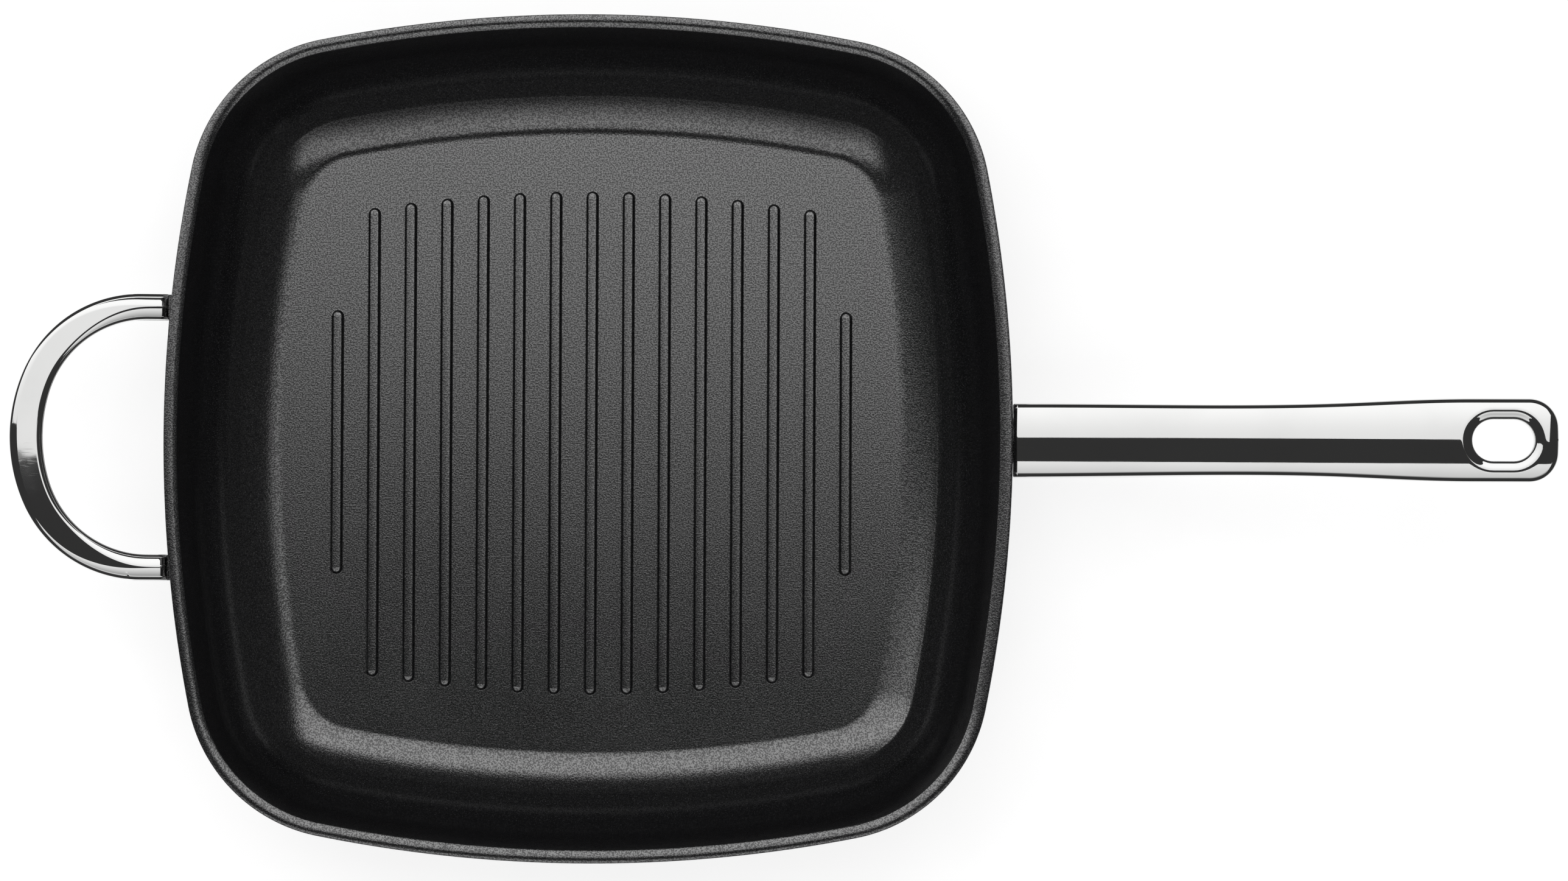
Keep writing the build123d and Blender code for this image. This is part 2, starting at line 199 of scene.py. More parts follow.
def pan_shells():
    """Floor, wall, rim, outside and base of the casting, and the recess for the steel plate."""
    centres, radii, directions = outline_stations()
    rows, normals = [], []
    for (out, up), (tilt_out, tilt_up) in zip(*rounded_path(wall_corners)):
        spread = (radii - (rim_half - out))[:, None] * directions + centres
        rows.append(raised(spread, up))
        normals.append(raised(directions * tilt_out, tilt_up))
    wall, floor = grid_shell(rows, normals), cap_shell(rows[0], (0, 0, 1))
    around = rows[-1][:, :2] / np.linalg.norm(rows[-1][:, :2], axis=1)[:, None]
    steps = [
        (plate_hole_radius + plate_hole_lip, 0, 0, -1),
        (plate_hole_radius, plate_hole_lip, -1, 0),
        (plate_hole_radius, plate_hole_depth, -1, 0),
    ]
    base_rows, base_normals = [rows[-1]], [raised(0 * around, -1)]
    for radius, up, tilt_out, tilt_up in steps:
        base_rows.append(raised(around * radius, up))
        base_normals.append(raised(around * tilt_out, tilt_up))
    return [wall, floor, grid_shell(base_rows, base_normals), cap_shell(base_rows[-1], (0, 0, -1))]


rib_count = 15
rib_pitch = 0.01215
rib_height = 0.0025
rib_crown_half = 0.00118
rib_crown_radius = 0.0085
rib_edge_round = 0.0004
rib_side_out = 0.00167
rib_foot_round = 0.0006
rib_end_fall = math.tan(math.radians(12))
middle_rib_length = 0.1683
outer_rib_length = 0.088
rib_half_width = 0.00185
rib_end_steps = 17
crown_tilt = math.asin(rib_crown_half / rib_crown_radius)
side_tilt = math.radians(86)


def rib_top(across, beyond):
    """Height of a rib's crown above the floor. It falls away on a flat facet at the rib's end."""
    return rib_height - across**2 / (2 * rib_crown_radius) - np.maximum(beyond, 0) * rib_end_fall


def rib_crown_shells(offset, straight):
    """Crown of a rib: its long middle, and the facet at each end."""
    shares = np.linspace(-1, 1, 9)
    shells = []
    turns = np.linspace(0, math.pi / 2, rib_end_steps // 2 + 1)
    parts = [(1, turns), (-1, turns), (0, np.array([0, 1]))]
    for end, places in parts:
        rows, normals = [], []
        for place in places:
            across = shares * rib_crown_half * (math.cos(place) if end else 1)
            beyond = rib_crown_half * math.sin(place) * abs(end)
            along = end * (straight + beyond) if end else straight * (2 * place - 1)
            up = floor_top + rib_top(across, beyond)
            rows.append(np.column_stack([offset + across, np.full(len(shares), along), up]))
            lean = np.full(len(shares), end * rib_end_fall)
            normals.append(np.column_stack([across / rib_crown_radius, lean, np.ones(len(shares))]))
        shells.append(grid_shell(rows, normals, wrap=False))
    return shells


def rib_side_shell(offset, straight):
    """Side of a rib: its rounded edge, its drafted flank and the small fillet at its foot."""
    turn = np.linspace(0, math.pi, rib_end_steps)
    angles = np.concatenate([turn, turn + math.pi])
    ends = np.repeat([straight, -straight], rib_end_steps)
    around = directions_at(angles)
    middles = np.column_stack([np.full(len(angles), offset), ends])
    top = rib_top(rib_crown_half * around[:, 0], rib_crown_half * np.abs(around[:, 1]))
    levels = []
    for tilt in np.linspace(crown_tilt, side_tilt, 8):
        out = rib_crown_half + rib_edge_round * (math.sin(tilt) - math.sin(crown_tilt))
        levels.append((out, top - rib_edge_round * (math.cos(crown_tilt) - math.cos(tilt)), tilt))
    for tilt in np.linspace(side_tilt, 0, 9):
        out = rib_side_out + rib_foot_round * (1 - math.sin(tilt))
        levels.append((out, rib_foot_round * (1 - math.cos(tilt)), tilt))
    rows, normals = [], []
    for out, up, tilt in levels:
        rows.append(raised(middles + out * around, floor_top + up))
        normals.append(raised(math.sin(tilt) * around, math.cos(tilt)))
    return grid_shell(rows, normals)


def rib_shells():
    """All the ribs. Their ends follow the bulged sides, but for the two outermost, which are shorter."""
    shells = []
    for index in range(rib_count):
        offset = (index - (rib_count - 1) / 2) * rib_pitch
        fall = rim_side_radius - math.sqrt(rim_side_radius**2 - offset**2)
        length = middle_rib_length - 2 * fall
        if index in (0, rib_count - 1):
            length = outer_rib_length
        straight = length / 2 - rib_half_width
        shells += [*rib_crown_shells(offset, straight), rib_side_shell(offset, straight)]
    return shells


def inside(points, loop):
    """Which of the points lie inside a closed loop, seen in plan."""
    start, end = loop, np.roll(loop, -1, axis=0)
    x, y = points[:, :1], points[:, 1:]
    spans = (start[:, 1] > y) != (end[:, 1] > y)
    rise = np.where(end[:, 1] == start[:, 1], 1, end[:, 1] - start[:, 1])
    crossing = start[:, 0] + (y - start[:, 1]) / rise * (end[:, 0] - start[:, 0])
    return (spans & (x < crossing)).sum(axis=1) % 2 == 1


def between(points, loops):
    """Which of the points lie inside the first closed loop and outside all the others."""
    kept = inside(points, loops[0])
    for loop in loops[1:]:
        kept &= ~inside(points, loop)
    return kept


skin_clearance = 0.55
merge_distance = 1e-9


def skin_shell(loops, height, side, step):
    """A skin between closed loops in plan, the first one outermost, at a height given by a function."""
    corners = np.concatenate(loops)
    low, high = corners.min(axis=0), corners.max(axis=0)
    grid = np.stack(np.meshgrid(np.arange(low[0], high[0], step), np.arange(low[1], high[1], step)), -1)
    grid = grid.reshape(-1, 2)
    grid = grid[between(grid, loops)]
    gaps = np.min([np.hypot(*(grid - corner).T) for corner in corners], axis=0)
    plan = np.concatenate([corners, grid[gaps > step * skin_clearance]])
    edges, start = [], 0
    for loop in loops:
        count = len(loop)
        edges += [(start + i, start + (i + 1) % count) for i in range(count)]
        start += count
    made = delaunay_2d_cdt([Vector(point) for point in plan], edges, [], 0, merge_distance)
    plan, faces = np.array([tuple(point) for point in made[0]]), np.array(made[2])
    kept = between(plan[faces].mean(axis=1), loops)
    points, normals = on_surface(height, plan)
    return points, normals * side, [tuple(int(i) for i in face) for face in faces[kept]]


slope_reach = 2e-5


def slopes_of(height, plan):
    """Slopes along X and Y of a height function at points in plan."""
    x, y = plan[:, 0], plan[:, 1]
    along = (height(x + slope_reach, y) - height(x - slope_reach, y)) / (2 * slope_reach)
    across = (height(x, y + slope_reach) - height(x, y - slope_reach)) / (2 * slope_reach)
    return along, across


def on_surface(height, plan):
    """Points of a height function over places in plan, and upward normals there."""
    slope_x, slope_y = slopes_of(height, plan)
    return raised(plan, height(*plan.T)), np.column_stack([-slope_x, -slope_y, np.ones(len(plan))])


def edge_rows(shoulder, lip, break_tilt, steps):
    """Inset, drop and tilt of the rows round an edge: a small lip up to a tilt, then a wide shoulder."""
    break_drop = shoulder * (1 - math.cos(break_tilt))
    full = shoulder * math.sin(break_tilt) + lip * (1 - math.sin(break_tilt))
    rows = []
    for tilt in np.linspace(math.pi / 2, break_tilt, steps):
        drop = break_drop + lip * (math.cos(break_tilt) - math.cos(tilt))
        rows.append((lip * (1 - math.sin(tilt)), drop, tilt))
    for tilt in np.linspace(break_tilt, 0, steps):
        rows.append((full - shoulder * math.sin(tilt), shoulder * (1 - math.cos(tilt)), tilt))
    return rows


def edge_band(loop, out, top, bottom, top_rows, bottom_rows):
    """Side of a plate along a closed loop, rounded over to its top and its underside.

    Also gives the loops in plan at which the top and the underside begin."""
    rows, normals = [], []
    for side, surface, levels in ((-1, bottom, bottom_rows[::-1]), (1, top, top_rows)):
        for inset, drop, tilt in levels:
            plan = loop - out * inset
            slopes = np.column_stack(slopes_of(surface, plan))
            rows.append(raised(plan, surface(*plan.T) - side * drop))
            lean = out * math.sin(tilt) - side * slopes * math.cos(tilt)
            normals.append(raised(lean, side * math.cos(tilt)))
    return grid_shell(rows, normals), rows[-1][:, :2], rows[0][:, :2]


def rounded_box_loop(low_x, high_x, half_width, corner, steps=9):
    """Points and outward directions round a rectangle with rounded corners, centred on the X axis."""
    loop, out = [], []
    right, left = high_x - corner, low_x + corner
    for quarter, (centre_x, side) in enumerate(((right, 1), (left, 1), (left, -1), (right, -1))):
        centre = np.array((centre_x, side * (half_width - corner)))
        for angle in np.linspace(quarter * math.pi / 2, (quarter + 1) * math.pi / 2, steps):
            direction = np.array([math.cos(angle), math.sin(angle)])
            loop.append(centre + corner * direction)
            out.append(direction)
    return np.array(loop), np.array(out)


def circle_loop(centre_x, radius, steps=40):
    """Points round a hole on the X axis, with directions that point into the hole."""
    directions = ring(steps)
    return directions * radius + (centre_x, 0), -directions


def level(value):
    """A height function that gives the same height everywhere."""
    return lambda x, y: np.full(np.shape(x), float(value))


block_skin_step = 0.002


def drilled_block(box, hole, low, high, round_over):
    """A block with rounded edges and one round hole: a tenon or a lug."""
    edge = edge_rows(round_over, round_over, math.pi / 4, 4)
    mouth = edge_rows(round_over / 3, round_over / 3, math.pi / 4, 3)
    side, top_loop, bottom_loop = edge_band(*box, level(high), level(low), edge, edge)
    bore, top_hole, bottom_hole = edge_band(*hole, level(high), level(low), mouth, mouth)
    top = skin_shell([top_loop, top_hole], level(high), 1, block_skin_step)
    underside = skin_shell([bottom_loop, bottom_hole], level(low), -1, block_skin_step)
    return joined([side, bore, top, underside])


def moved(shell, place):
    """A shell put in its place by a matrix."""
    turn = np.array(place.to_3x3())
    shift = np.array(place.to_translation())
    return shell[0] @ turn.T + shift, shell[1] @ turn.T, shell[2]


tenon_start = 0.1358
tenon_end = 0.1643
tenon_bottom = 0.0403
tenon_top = 0.0473
tenon_half_width = 0.0075
tenon_corner = 0.0016
tenon_hole_radius = 0.00405
tenon_edge_round = 0.0012
screw_place = 0.1533
loop_lean = math.radians(0.3)
loop_rise = math.radians(6)
loop_root = Vector((-0.13865, 0, 0.049))
loop_place = Matrix.Translation(loop_root) @ Matrix.Rotation(-loop_lean, 4, "X")
loop_place = loop_place @ Matrix.Rotation(math.pi, 4, "Z") @ Matrix.Rotation(-loop_rise, 4, "Y")
loop_end_offset = 0.043
lug_top = -0.0042
lug_bottom = -0.0102
lug_start = -0.0055
lug_end = 0.0127
lug_half_width = 0.0042
lug_corner = 0.0025
lug_hole_radius = 0.0035
lug_edge_round = 0.0006
lug_screw_place = 0.0065


def fixing_shells():
    """Tenon of the long handle and the two lugs of the loop handle, cast in one with the pan."""
    tenon_box = rounded_box_loop(tenon_start, tenon_end, tenon_half_width, tenon_corner)
    tenon_hole = circle_loop(screw_place, tenon_hole_radius)
    tenon = drilled_block(tenon_box, tenon_hole, tenon_bottom, tenon_top, tenon_edge_round)
    lug_box = rounded_box_loop(lug_start, lug_end, lug_half_width, lug_corner)
    lug_hole = circle_loop(lug_screw_place, lug_hole_radius)
    lug = drilled_block(lug_box, lug_hole, lug_bottom, lug_top, lug_edge_round)
    lugs = [moved(lug, loop_place @ Matrix.Translation((0, side * loop_end_offset, 0))) for side in (-1, 1)]
    return [tenon, *lugs]


def feed(tree, socket, value):
    """Links an input to the value if that is an output of a node, or else sets the input to it."""
    if isinstance(value, bpy.types.NodeSocket):
        tree.links.new(value, socket)
    else:
        socket.default_value = value


def set_inputs(tree, node, **values):
    """Feeds the named inputs of a node. A space in an input's name is written _."""
    for name, value in values.items():
        feed(tree, node.inputs[name.replace("_", " ")], value)


def add_node(tree, kind, **values):
    """A new node of this kind in the tree, with its named inputs fed."""
    node = tree.nodes.new(kind)
    set_inputs(tree, node, **values)
    return node


def calculate(tree, operation, first, second):
    """Output of a Math node on two values, each of them a socket or a number."""
    node = tree.nodes.new("ShaderNodeMath")
    node.operation = operation
    for value, socket in zip((first, second), node.inputs):
        feed(tree, socket, value)
    return node.outputs[0]


def ramped(tree, value, start, end, low, high):
    """Output of a value brought smoothly from one range to another."""
    node = add_node(tree, "ShaderNodeMapRange", From_Min=start, From_Max=end, To_Min=low, To_Max=high)
    node.interpolation_type = "SMOOTHSTEP"
    set_inputs(tree, node, Value=value)
    return node.outputs[0]


def mixed(tree, share, first, second):
    """Output of a mix of two colours by a socket's value."""
    node = tree.nodes.new("ShaderNodeMix")
    node.data_type = "RGBA"
    for value, socket in ((share, 0), ((*first, 1), 6), ((*second, 1), 7)):
        feed(tree, node.inputs[socket], value)
    return node.outputs[2]


def new_group(name, inputs, outputs):
    """An empty shader node group, with its number inputs and its outputs, and its two end nodes."""
    group = bpy.data.node_groups.new(name, "ShaderNodeTree")
    group.interface.new_socket("Vector", in_out="INPUT", socket_type="NodeSocketVector")
    for way, titles in (("INPUT", inputs), ("OUTPUT", outputs)):
        for title in titles:
            group.interface.new_socket(title, in_out=way, socket_type="NodeSocketFloat")
    return group, group.nodes.new("NodeGroupInput"), group.nodes.new("NodeGroupOutput")


def use_group(tree, group, vector, **values):
    """A node that uses a shader group at a vector, with its own values."""
    node = tree.nodes.new("ShaderNodeGroup")
    node.node_tree = group
    set_inputs(tree, node, Vector=vector, **values)
    return node


def noise_in(tree, vector, scale, detail):
    """Output of a Noise node at a vector. The scale is a socket or a number."""
    return add_node(tree, "ShaderNodeTexNoise", Vector=vector, Scale=scale, Detail=detail).outputs[0]


noise_range = (0.3, 0.7)
fleck_fineness = 1.7
fleck_limit = 0.72
fleck_softness = 0.05
drift_scale = 22


def flecked_film_group():
    """Sprayed coating: its fine skin, the bright flecks in it and slow changes over the surface."""
    inputs, outputs = ("Grain", "Fleck Share"), ("Skin", "Flecks", "Drift")
    group, inlet, outlet = new_group("flecked film", inputs, outputs)
    vector, grain = inlet.outputs["Vector"], inlet.outputs["Grain"]
    skin = noise_in(group, vector, grain, 3)
    fleck_noise = noise_in(group, vector, calculate(group, "MULTIPLY", grain, fleck_fineness), 1)
    limit = calculate(group, "SUBTRACT", fleck_limit, inlet.outputs["Fleck Share"])
    flecks = ramped(group, calculate(group, "SUBTRACT", fleck_noise, limit), 0, fleck_softness, 0, 1)
    drift = noise_in(group, vector, drift_scale, 3)
    set_inputs(group, outlet, Skin=skin, Flecks=flecks, Drift=drift)
    return group


def tool_marks_group():
    """Fine parallel lines that a tool leaves, evenly spaced in one coordinate but uneven in depth."""
    group, inlet, outlet = new_group("tool marks", ("Place", "Pitch"), ("Lines",))
    turns = calculate(group, "DIVIDE", inlet.outputs["Place"], inlet.outputs["Pitch"])
    wave = calculate(group, "SINE", calculate(group, "MULTIPLY", turns, 2 * math.pi), 0)
    uneven = add_node(group, "ShaderNodeTexNoise", Scale=1, Detail=2)
    uneven.noise_dimensions = "1D"
    set_inputs(group, uneven, W=turns)
    patchy = noise_in(group, inlet.outputs["Vector"], 60, 2)
    depth = calculate(group, "MULTIPLY", uneven.outputs[0], patchy)
    set_inputs(group, outlet, Lines=calculate(group, "MULTIPLY", wave, depth))
    return group


flecked_film = flecked_film_group()
tool_marks = tool_marks_group()


def new_material(name):
    """A material with a Principled shader, its tree and the object coordinates that its pattern uses."""
    material = bpy.data.materials.new(name)
    material.use_nodes = True
    tree = material.node_tree
    shader = tree.nodes["Principled BSDF"]
    place = tree.nodes.new("ShaderNodeTexCoord").outputs["Object"]
    return material, tree, shader, place


def bump_into(tree, shader, height, distance):
    """Feeds a height into the shader's normal through a Bump node."""
    bump = add_node(tree, "ShaderNodeBump", Strength=1, Distance=distance, Height=height)
    set_inputs(tree, shader, Normal=bump.outputs["Normal"])


def axis_of(tree, vector, name):
    """One coordinate of a vector."""
    return add_node(tree, "ShaderNodeSeparateXYZ", Vector=vector).outputs[name]


film_grain = 2000
film_fleck_share = 0.1
film_dark = (0.0055, 0.0055, 0.006)
film_fleck = (0.045, 0.045, 0.047)
film_rough = (0.13, 0.155)
film_fleck_rough = 0.1
film_gloss = (0.4, 1)
film_gloss_range = (0.44, 0.56)
film_ior = 1.9
film_bump = 0.00003
machined_from = 0.0305
machined_fully = 0.0315
machined_pitch = 0.00055
machined_depth = 1.6


def coating_material():
    """Dark non-stick film over cast aluminium, with machined lines under it on the upper wall."""
    material, tree, shader, place = new_material("dark non-stick coating")
    film = use_group(tree, flecked_film, place, Grain=film_grain, Fleck_Share=film_fleck_share)
    skin, flecks = film.outputs["Skin"], film.outputs["Flecks"]
    above_base = axis_of(tree, place, "Z")
    marks = use_group(tree, tool_marks, place, Pitch=machined_pitch, Place=above_base)
    machined = ramped(tree, above_base, machined_from, machined_fully, 0, 1)
    lines = calculate(tree, "MULTIPLY", marks.outputs["Lines"], machined)
    colour = mixed(tree, flecks, film_dark, film_fleck)
    rough = ramped(tree, film.outputs["Drift"], *noise_range, *film_rough)
    rough = calculate(tree, "ADD", rough, calculate(tree, "MULTIPLY", flecks, film_fleck_rough))
    gloss = ramped(tree, skin, *film_gloss_range, *film_gloss)
    set_inputs(tree, shader, Base_Color=colour, Roughness=rough, IOR=film_ior, Specular_IOR_Level=gloss)
    height = calculate(tree, "ADD", skin, calculate(tree, "MULTIPLY", lines, machined_depth))
    bump_into(tree, shader, height, film_bump)
    return material


new_piece(
    "pan_casting",
    [*pan_shells(), *rib_shells(), *fixing_shells()],
    coating_material(),
    ["pan_body"],
)

# BASE PLATE
# A disc of ferritic stainless steel bonded into the recess of the base, so that the pan heats on an
# induction hob. Its face is turned, which leaves fine rings round its centre.

plate_radius = 0.0879
plate_rows = [
    (0.0004, 0),
    (0.0869, 0),
    (0.0873, 0.00006),
    (plate_radius, 0.0005),
    (plate_radius, 0.0011),
]
plate_steps = 192
plate_pitch = 0.0007
plate_bright = (0.56, 0.555, 0.545)
plate_dull = (0.49, 0.485, 0.47)
plate_rough = (0.28, 0.38)
plate_line_rough = 0.08
plate_scratch_depth = 0.4
plate_anisotropy = 0.4
plate_bump = 0.00003


def turned_shell(rows, steps):
    """A shell turned about the Z axis from rows of (radius, height), with flat normals from the rows."""
    around = ring(steps)
    made, normals = [], []
    for (start_radius, start_up), (end_radius, end_up) in zip(rows, rows[1:]):
        normal = np.array([end_up - start_up, start_radius - end_radius])
        normal = normal / np.linalg.norm(normal)
        for radius, up in ((start_radius, start_up), (end_radius, end_up)):
            made.append(raised(around * radius, up))
            normals.append(raised(around * normal[0], normal[1]))
    return grid_shell(made, normals)


smear_range = (0.42, 0.7)
scratch_range = (0.69, 0.75)
scratch_turns = (0.4, 1.7, 2.6)
scratch_roll_share = 0.3
scratch_pitch = 0.2
scratch_scale = (6, 420, 420)


def handling_marks_group():
    """Marks of use on bare steel: soft smears, and thin scratches that run every way."""
    group, inlet, outlet = new_group("handling marks", ("Size",), ("Smears", "Scratches"))
    vector = inlet.outputs["Vector"]
    smears = ramped(group, noise_in(group, vector, inlet.outputs["Size"], 4), *smear_range, 0, 1)
    scratches = 0
    for turn in scratch_turns:
        turned = (scratch_roll_share * turn, scratch_pitch, turn)
        spin = add_node(group, "ShaderNodeMapping", Vector=vector, Rotation=turned, Scale=scratch_scale)
        line = ramped(group, noise_in(group, spin.outputs[0], 5, 1), *scratch_range, 0, 1)
        scratches = calculate(group, "MAXIMUM", scratches, line)
    set_inputs(group, outlet, Smears=smears, Scratches=scratches)
    return group


handling_marks = handling_marks_group()


def turned_steel_material():
    """Steel with the fine rings of a facing cut and the smears of use."""
    material, tree, shader, place = new_material("turned steel")
    along = [axis_of(tree, place, name) for name in ("X", "Y")]
    squares = [calculate(tree, "MULTIPLY", value, value) for value in along]
    radius = calculate(tree, "SQRT", calculate(tree, "ADD", *squares), 0)
    lines = use_group(tree, tool_marks, place, Pitch=plate_pitch, Place=radius).outputs["Lines"]
    used = use_group(tree, handling_marks, place, Size=30)
    colour = mixed(tree, used.outputs["Smears"], plate_bright, plate_dull)
    rough = ramped(tree, used.outputs["Smears"], 0, 1, *plate_rough)
    rough = calculate(tree, "ADD", rough, calculate(tree, "MULTIPLY", lines, plate_line_rough))
    set_inputs(tree, shader, Base_Color=colour, Roughness=rough, Metallic=1, Anisotropic=plate_anisotropy)
    scratches = calculate(tree, "MULTIPLY", used.outputs["Scratches"], plate_scratch_depth)
    bump_into(tree, shader, calculate(tree, "SUBTRACT", lines, scratches), plate_bump)
    return material


plate_middle = raised(ring(plate_steps) * plate_rows[0][0], 0)
new_piece(
    "base_plate",
    [turned_shell(plate_rows, plate_steps), cap_shell(plate_middle, (0, 0, -1))],
    turned_steel_material(),
    ["induction_plate"],
)

# LONG HANDLE
# Investment-cast stainless steel, crowned on top and mirror polished. Its thick root is socketed over
# the tenon of the pan, its underside is relieved by a pocket, and its free end has a hanging hole
# whose mouth is dished.

handle_root_x = 0.14002
handle_length = 0.1779
handle_end_bulge = 0.0008
handle_knots = ((0, 0.01215), (0.32, 0.01165), (0.6, 0.01215), (0.84, 0.01365))
handle_arc_centre_x = 0.3782
handle_arc_centre_z = -1.06867
handle_arc_radius = 1.14416
handle_crown_radius = 0.0485
handle_crown_growth = 0.02
handle_end_fall_x = 0.3124
handle_end_fall_radius = 0.02
handle_thickness = 0.0085
handle_bottom = 0.0365
handle_flat_length = 0.027
handle_thinning_length = 0.075
handle_root_corner = 0.0006
handle_end_corner = 0.0095
handle_shoulder_radius = 0.0024
handle_lip_radius = 0.0003
handle_break_tilt = math.radians(35)
handle_bottom_round = 0.0014
hole_x = 0.3
hole_half_straight = 0.0033
hole_radius = 0.0068
hole_mouth_round = 0.00025
hole_bottom_round = 0.001
dish_places = np.array([0, 0.0001, 0.00105, 0.0017, 0.0044])
dish_slopes = np.tan(np.radians([45, 45, 21, 24, 0]))
pocket_start = 0.2203
pocket_end = 0.2783
pocket_half_width = 0.0065
pocket_corner = 0.004
pocket_roof = 0.004
pocket_mouth_round = 0.0006
pocket_roof_round = 0.0012
seat_radius = 0.0047
seat_up = 0.0395
seat_mouth_round = 0.0002
seat_roof_round = 0.0004
top_skin_step = 0.0009
underside_skin_step = 0.0014
hollow_skin_step = 0.002


def eased(share):
    """A share from 0 to 1, with level ends."""
    return share**2 * (3 - 2 * share)


def blended(t, span, start, start_slope, end, end_slope):
    """A smooth curve between two values with a slope at each, at shares t of the span between them."""
    first = (1 + 2 * t) * (1 - t) ** 2 * start + t * (1 - t) ** 2 * span * start_slope
    return first + eased(t) * end + t**2 * (t - 1) * span * end_slope


def flank_half_width(along):
    """Half width of the handle along its length, on a smooth line through its knots, level at both ends."""
    knots = np.array(handle_knots)
    x, y = knots[:, 0] * handle_length, knots[:, 1]
    count = len(x)
    system, right = np.zeros((count, count)), np.zeros(count)
    system[0, 0] = system[-1, -1] = 1
    for i in range(1, count - 1):
        before, after = x[i] - x[i - 1], x[i + 1] - x[i]
        system[i, i - 1 : i + 2] = after, 2 * (before + after), before
        right[i] = 3 * (after * (y[i] - y[i - 1]) / before + before * (y[i + 1] - y[i]) / after)
    slopes = np.linalg.solve(system, right)
    i = np.clip(np.searchsorted(x, along) - 1, 0, count - 2)
    span = x[i + 1] - x[i]
    t = np.clip((along - x[i]) / span, 0, 1)
    return blended(t, span, y[i], slopes[i], y[i + 1], slopes[i + 1])


def arc_points(centre, radius, start, end, steps):
    """Points along an arc in plan, from a start angle to an end angle."""
    return directions_at(np.linspace(start, end, steps)) * radius + centre


def handle_outline():
    """Points and outward directions round the long handle's plan."""
    half_root, half_end = handle_knots[0][1], handle_knots[-1][1]
    end_radius = (half_end**2 + handle_end_bulge**2) / (2 * handle_end_bulge)
    end_centre = handle_length - end_radius
    corner_up = half_end - handle_end_corner
    reach = math.sqrt((end_radius - handle_end_corner) ** 2 - corner_up**2)
    meeting = math.atan2(corner_up, reach)
    corner_x = end_centre + reach
    root = handle_root_corner
    flank_x = np.linspace(root, corner_x, 130)[1:-1]
    half = np.concatenate(
        [
            arc_points((end_centre, 0), end_radius, 0, meeting, 10)[:-1],
            arc_points((corner_x, corner_up), handle_end_corner, meeting, math.pi / 2, 26),
            np.column_stack([flank_x, flank_half_width(flank_x)])[::-1],
            arc_points((root, half_root - root), root, math.pi / 2, math.pi, 14),
            np.column_stack([np.zeros(6), np.linspace(half_root - root, 0, 8)[1:-1]]),
        ]
    )
    other = half[1:][::-1] * (1, -1)
    loop = np.concatenate([half, [(0, 0)], other]) + (handle_root_x, 0)
    along = np.roll(loop, -1, axis=0) - np.roll(loop, 1, axis=0)
    out = np.column_stack([along[:, 1], -along[:, 0]])
    return loop, out / np.linalg.norm(out, axis=1)[:, None]


def from_hole(x, y):
    """Distance in plan from the edge of the hanging hole."""
    beyond = np.maximum(np.abs(x - hole_x) - hole_half_straight, 0)
    return np.hypot(beyond, y) - hole_radius


def dish_table():
    """Distances from the hole's edge and the depth of the dish at each. Its slope eases between places."""
    distances = np.linspace(dish_places[0], dish_places[-1], 400)
    index = np.clip(np.searchsorted(dish_places, distances) - 1, 0, len(dish_places) - 2)
    share = (distances - dish_places[index]) / (dish_places[index + 1] - dish_places[index])
    slope = dish_slopes[index] * (1 - eased(share)) + dish_slopes[index + 1] * eased(share)
    falls = np.diff(distances) * (slope[1:] + slope[:-1]) / 2
    return distances, np.append(np.cumsum(falls[::-1])[::-1], 0)


dish_distances, dish_depths = dish_table()


def handle_top(x, y):
    """Height of the long handle's top: a crown swept along an arc, less the dish round the hole."""
    across_radius = handle_crown_radius + handle_crown_growth * np.maximum(x - handle_root_x, 0)
    crown = across_radius - np.sqrt(across_radius**2 - y**2)
    arc = handle_arc_centre_z + np.sqrt((handle_arc_radius - crown) ** 2 - (x - handle_arc_centre_x) ** 2)
    fall = np.maximum(x - handle_end_fall_x, 0) ** 2 / (2 * handle_end_fall_radius)
    return arc - fall - np.interp(from_hole(x, y), dish_distances, dish_depths)


def arc_height(x, depth):
    """Height of the handle's arc along X, at a depth below its top."""
    return handle_arc_centre_z + np.sqrt((handle_arc_radius - depth) ** 2 - (x - handle_arc_centre_x) ** 2)


def handle_underside(x, y):
    """Height of the long handle's underside: level under the root, then thinning to the end."""
    thin_x = handle_root_x + handle_thinning_length
    level_x = handle_root_x + handle_flat_length
    thin_up = arc_height(thin_x, handle_thickness)
    thin_slope = (handle_arc_centre_x - thin_x) / (thin_up - handle_arc_centre_z)
    span = thin_x - level_x
    t = np.clip((x - level_x) / span, 0, 1)
    blend = blended(t, span, handle_bottom, 0, thin_up, thin_slope)
    beyond = np.where(x > thin_x, arc_height(x, handle_thickness), blend)
    return np.where(x < level_x, handle_bottom, beyond) + 0 * y


def pocket_roof_height(x, y):
    """Height of the roof of the pocket under the handle."""
    return arc_height(x, pocket_roof) + 0 * y


def hole_loop(steps=26):
    """Points round the hanging hole, with directions that point into it."""
    right = arc_points((hole_x + hole_half_straight, 0), hole_radius, -math.pi / 2, math.pi / 2, steps)
    left = arc_points((hole_x - hole_half_straight, 0), hole_radius, math.pi / 2, 3 * math.pi / 2, steps)
    straight = np.linspace(-hole_half_straight, hole_half_straight, 8)[1:-1] + hole_x
    upper = np.column_stack([straight[::-1], np.full(len(straight), hole_radius)])
    lower = np.column_stack([straight, np.full(len(straight), -hole_radius)])
    loop = np.concatenate([right, upper, left, lower])
    nearest = np.clip(loop[:, 0], hole_x - hole_half_straight, hole_x + hole_half_straight)
    return loop, (np.column_stack([nearest, 0 * nearest]) - loop) / hole_radius


def rings_on_top(loop, out, distances):
    """Rows of the handle's top at growing distances from its hole, and the last one in plan."""
    rows, normals = zip(*[on_surface(handle_top, loop - out * distance) for distance in distances])
    return grid_shell(rows, normals), rows[-1][:, :2]


